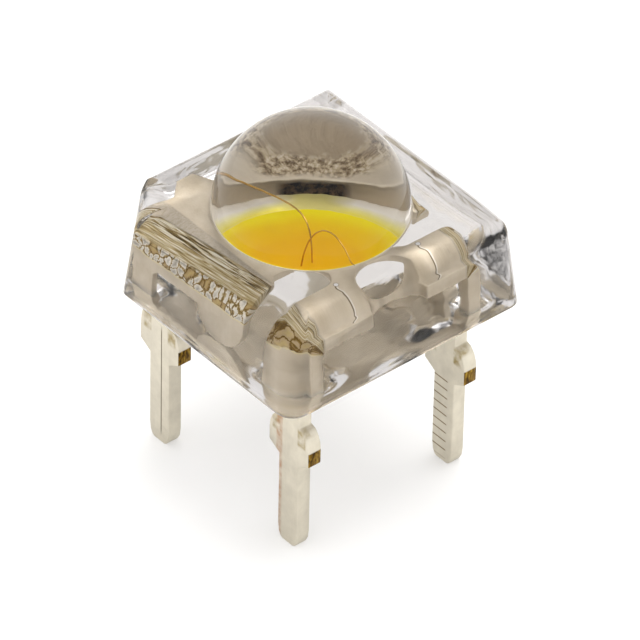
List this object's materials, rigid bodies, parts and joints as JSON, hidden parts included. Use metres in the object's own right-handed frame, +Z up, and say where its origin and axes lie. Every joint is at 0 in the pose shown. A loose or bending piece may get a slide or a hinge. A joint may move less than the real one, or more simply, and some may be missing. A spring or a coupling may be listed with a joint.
{
  "type": "superflux light-emitting diode",
  "caption": "Square clear epoxy lamp with a dome lens and one cut corner, moulded round two folded lead frames with a phosphor-filled reflector cup and flat stepped pins",
  "frame": {"origin": "middle of the square that the four pin tips stand on", "axes": "+Z up through the dome; X and Y along the body's sides; the cut corner is at -X -Y; the wide faces of the pins face -Y and +Y"},
  "size_m": [0.0076, 0.0076, 0.0103],
  "materials": {
    "clear_epoxy": "clear moulded epoxy, polished, with a satin side wall",
    "silver_plated_copper": "dull silver plating on stamped copper, with bare copper on the cut stub ends",
    "phosphor_in_silicone": "yellow phosphor powder in cured silicone",
    "die_crystal": "polished semiconductor crystal",
    "die_adhesive": "cured adhesive",
    "gold_wire": "drawn gold wire"
  },
  "bodies": {
    "root": {"epoxy_body": "clear_epoxy", "cup_frame": "silver_plated_copper", "flange_frame": "silver_plated_copper", "phosphor_fill": "phosphor_in_silicone", "led_die": "die_crystal", "die_attach": "die_adhesive", "bond_wire_flange": "gold_wire", "bond_wire_cup": "gold_wire"}
  },
  "joints": []
}
